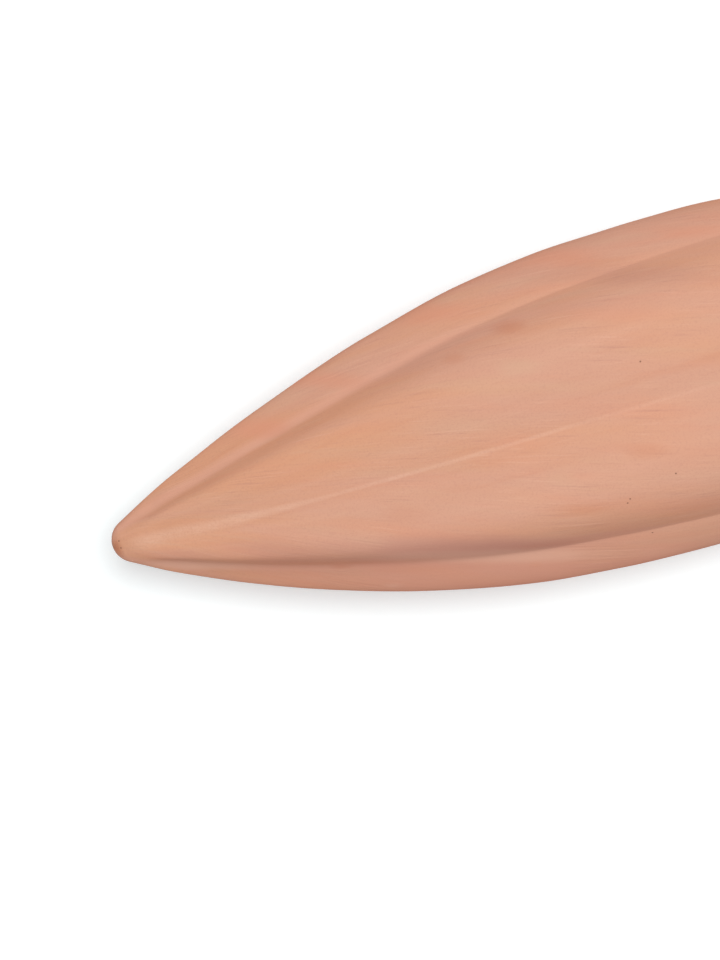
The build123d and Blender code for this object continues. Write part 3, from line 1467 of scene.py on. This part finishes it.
@dataclass
class Cork:
    """The tapered cork in the mouth."""

    edge_round: float = 0.8 * MM
    taper_share: float = 0.078  # growth of its radius along its length
    cell: float = 0.42 * MM  # about the distance between its rows
    edge_rows: int = 4
    steps_round: int = 240
    pore_depth: float = 0.45 * MM
    long_pores: Noise = Noise((430.0, 330.0, 75.0), 2.0, 0.45)
    long_pore_edge: Span = (0.60, 0.72)  # noise where a pore starts, and where it is full
    round_pores: Noise = Noise(640.0, 1.0, 0.4)
    round_pore_edge: Span = (0.66, 0.78)
    round_pore_share: float = 0.6  # their depth as a share of the long ones' depth

    def rows(self) -> list[dict[str, float]]:
        """The cork's profile, from the middle of its small end to the middle of its large end.

        Returns:
            The rows, in order.
        """
        low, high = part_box("cork_stopper")
        length = high.x - low.x
        turn = self.edge_round
        large = (high.z - low.z) / 2
        small = large - self.taper_share * (length - turn)
        large_face = large - turn
        small_face = small - turn
        quarter = [math.pi / 2 * step / self.edge_rows for step in range(self.edge_rows + 1)]
        count = int(small_face / self.cell)
        points = [(0.0, small_face * step / count) for step in range(count)]
        points += [(turn - turn * math.cos(a), small_face + turn * math.sin(a)) for a in quarter]
        side = length - 2 * turn
        count = int(side / self.cell)
        shares = [step / count for step in range(1, count)]
        points += [(turn + side * share, small + (large - small) * share) for share in shares]
        centre = length - turn
        points += [(centre + turn * math.sin(a), large_face + turn * math.cos(a)) for a in quarter]
        count = int(large_face / self.cell)
        points += [(length, large_face * (1 - step / count)) for step in range(1, count + 1)]
        return [{"station": low.x + s, "crest": max(r, 0.0)} for s, r in points]

    def sizes(self, axis_height: float) -> dict[str, float]:
        """Inputs of the cork's tree, by name.

        Args:
            axis_height: Height of the pod's axis.

        Returns:
            The sizes.
        """
        return {
            "Steps round": self.steps_round,
            "Pore depth": self.pore_depth,
            "Axis height": axis_height,
        }

    def tree(self, axis_height: float) -> LatheTree:
        """Builds the Geometry Nodes tree of a cork with hollow pores.

        Args:
            axis_height: Height of the pod's axis.

        Returns:
            The maker of the tree.
        """
        maker = LatheTree("cork_skin", self.sizes(axis_height))
        angle = maker.turn * math.tau
        here = maker.around(maker.profile("row_station"), maker.profile("row_crest"), angle)
        long_pores = maker.rise(maker.noise(here, self.long_pores), *self.long_pore_edge)
        round_pores = maker.rise(maker.noise(here, self.round_pores), *self.round_pore_edge)
        pores = maker.math("MAXIMUM", long_pores, self.round_pore_share * round_pores)
        skin = Term(maker, maker.grid.outputs["Mesh"])
        skin = maker.store(skin, "pore", pores)
        lift = maker.vector(0.0, 0.0, maker.given("Axis height"))
        skin = maker.merged(maker.placed(skin, maker.moved(here, lift)))

        normal = maker.node("GeometryNodeInputNormal")
        inward = maker.node("ShaderNodeVectorMath", operation="SCALE")
        maker.feed(inward.inputs[0], normal.outputs[0])
        depth = maker.stored("pore") * maker.given("Pore depth")
        maker.feed(inward.inputs["Scale"], depth * -1.0)
        dented = maker.node("GeometryNodeSetPosition")
        maker.feed(dented.inputs["Geometry"], skin)
        maker.feed(dented.inputs["Offset"], inward.outputs["Vector"])
        maker.finish(Term(maker, dented.outputs["Geometry"]))
        return maker

    def build(self, finish: CorkFinish, axis_height: float) -> bpy.types.Object:
        """Makes the cork, dresses it and sets it on its body.

        Args:
            finish: The cork's finish.
            axis_height: Height of the pod's axis.

        Returns:
            The finished piece.
        """
        profile = profile_mesh("cork_profile", self.rows())
        piece = self.tree(axis_height).applied("cork", profile, self.sizes(axis_height))
        piece.data.materials.clear()
        piece.data.materials.append(finish.make())
        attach(piece, "stopper")
        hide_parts("cork_stopper")
        return piece


@dataclass(frozen=True)
class SoftLight:
    """A round soft light over the table. Its tilts from straight up are in degrees."""

    name: str
    size: float
    height: float
    tilt: float
    side_tilt: float
    power: float
    colour: Colour


@dataclass
class Studio:
    """White table, soft light, pale surroundings and the camera."""

    light_centre: float = -0.03
    key: SoftLight = SoftLight("soft_key", 0.70, 1.40, 9.0, 5.0, 17.5, (0.985, 1.0, 0.970))
    table_size: float = 6.0
    table_glow: float = 0.22
    fill: float = 0.38
    lens: float = 135.0
    sensor: float = 36.0
    frame_height: int = 960
    pixel: float = 0.186 * MM  # size of a pixel at the pod's axis
    clip_start: float = 0.01
    clip_end: float = 50.0
    roll: float = 16.27  # degrees that the pod's axis is turned in the picture
    lean: float = 4.4  # degrees that the camera leans away from straight down
    look_station: float = 47.62 * MM
    look_across: float = -0.84 * MM

    def view_axes(self) -> tuple[Vector, Vector, Vector]:
        """The camera's right, up and backward directions.

        Returns:
            The three directions, each of length 1.
        """
        lean = math.radians(self.lean)
        roll = math.radians(self.roll)
        along = Vector((1, 0, 0))
        across = Vector((0, math.cos(lean), -math.sin(lean)))
        right = along * math.cos(roll) - across * math.sin(roll)
        up = along * math.sin(roll) + across * math.cos(roll)
        return right, up, Vector((0, math.sin(lean), math.cos(lean)))

    def build_camera(self, pod: ClayPod) -> None:
        """Places the camera over the pod, with a long lens.

        Args:
            pod: The pod that it looks at.
        """
        right, up, back = self.view_axes()
        data = bpy.data.cameras.new("catalogue_camera")
        data.lens = self.lens
        data.sensor_width = self.sensor
        data.clip_start = self.clip_start
        data.clip_end = self.clip_end
        camera = bpy.data.objects.new("catalogue_camera", data)
        bpy.context.scene.collection.objects.link(camera)
        target = Vector((pod.tip_x + self.look_station, self.look_across, pod.axis_height))
        view_height = self.frame_height * self.pixel
        place = target + back * (self.lens / self.sensor * view_height)
        turned = Matrix((right, up, back)).transposed()
        camera.matrix_world = Matrix.Translation(place) @ turned.to_4x4()
        bpy.context.scene.camera = camera

    def build_table(self) -> None:
        """Lays a white table that glows a little, as a lit product table does."""
        half = self.table_size / 2
        mesh = bpy.data.meshes.new("table")
        corners = [(-half, -half, 0), (half, -half, 0), (half, half, 0), (-half, half, 0)]
        mesh.from_pydata(corners, [], [(0, 1, 2, 3)])
        table = bpy.data.objects.new("table", mesh)
        bpy.context.scene.collection.objects.link(table)
        material, maker, shader = new_material("table_white")
        shader.inputs["Base Color"].default_value = (*Tint.TABLE_WHITE.value, 1.0)
        shader.inputs["Roughness"].default_value = 1.0
        shader.inputs["Specular IOR Level"].default_value = 0.0
        shader.inputs["Emission Color"].default_value = (1.0, 1.0, 1.0, 1.0)
        shader.inputs["Emission Strength"].default_value = self.table_glow
        bounced = maker.node("ShaderNodeBsdfDiffuse")
        bounced.inputs["Color"].default_value = (*Tint.TABLE_BOUNCE.value, 1.0)
        self.split_rays(maker, bounced.outputs[0], shader.outputs[0], "ShaderNodeOutputMaterial")
        mesh.materials.append(material)

    @staticmethod
    def split_rays(
        maker: NodeMaker, lit: bpy.types.NodeSocket, seen: bpy.types.NodeSocket, output_kind: str
    ) -> None:
        """Lets the table or the world light the object with one shader and show another.

        Args:
            maker: The maker of the node tree.
            lit: The shader that lights the object.
            seen: The shader that is seen.
            output_kind: Blender's name for the type of the tree's output node.
        """
        for old in [node for node in maker.tree.nodes if node.bl_idname == output_kind]:
            maker.tree.nodes.remove(old)
        mix = maker.node("ShaderNodeMixShader")
        path = maker.node("ShaderNodeLightPath")
        output = maker.node(output_kind)
        maker.feed(mix.inputs[0], path.outputs["Is Camera Ray"])
        maker.feed(mix.inputs[1], lit)
        maker.feed(mix.inputs[2], seen)
        maker.feed(output.inputs["Surface"], mix.outputs[0])

    def build_light(self, light: SoftLight) -> None:
        """Hangs a round soft light over the table, aimed at the middle of it.

        Args:
            light: The light.
        """
        _, up, _ = self.view_axes()
        data = bpy.data.lights.new(light.name, "AREA")
        data.shape = "DISK"
        data.size = light.size
        data.energy = light.power
        data.color = light.colour
        lamp = bpy.data.objects.new(light.name, data)
        bpy.context.scene.collection.objects.link(lamp)
        upward = Vector((up.x, up.y, 0)).normalized()
        sideways = Vector((upward.y, -upward.x, 0))
        place = Vector((self.light_centre, 0, light.height))
        place += upward * math.tan(math.radians(light.tilt)) * light.height
        place += sideways * math.tan(math.radians(light.side_tilt)) * light.height
        facing = place - Vector((self.light_centre, 0, 0))
        turned = facing.to_track_quat("Z", "Y").to_matrix().to_4x4()
        lamp.matrix_world = Matrix.Translation(place) @ turned

    def build_world(self) -> None:
        """Surrounds the table with plain white, which lights it only a little."""
        world = bpy.data.worlds.new("white_room")
        bpy.context.scene.world = world
        world.use_nodes = True
        maker = NodeMaker(world.node_tree)
        world.node_tree.nodes.clear()
        seen = maker.node("ShaderNodeBackground")
        seen.inputs["Strength"].default_value = 1.0
        seen.inputs["Color"].default_value = (1, 1, 1, 1)
        lit = maker.node("ShaderNodeBackground")
        lit.inputs["Strength"].default_value = self.fill
        lit.inputs["Color"].default_value = (*Tint.ROOM_WHITE.value, 1.0)
        self.split_rays(maker, lit.outputs[0], seen.outputs[0], "ShaderNodeOutputWorld")

    def build(self, pod: ClayPod) -> None:
        """Sets up table, light, surroundings and camera.

        Args:
            pod: The pod that stands in it.
        """
        self.build_table()
        self.build_light(self.key)
        self.build_world()
        self.build_camera(pod)
        bpy.context.scene.view_settings.view_transform = "Standard"


def report(piece: bpy.types.Object) -> None:
    """Logs a finished piece and its number of triangles."""
    triangles = sum(len(face.vertices) - 2 for face in piece.data.polygons)
    log.info("%s: %d triangles", piece.name, triangles)


def main() -> None:
    """Builds the pod, the cork and the studio, in that order."""
    logging.basicConfig(level=logging.INFO)
    pod = ClayPod()
    clay_piece = pod.build(ClayFinish())
    report(clay_piece)
    cork_piece = Cork().build(CorkFinish(), pod.axis_height)
    report(cork_piece)
    Studio().build(pod)


if __name__ == "__main__":
    main()
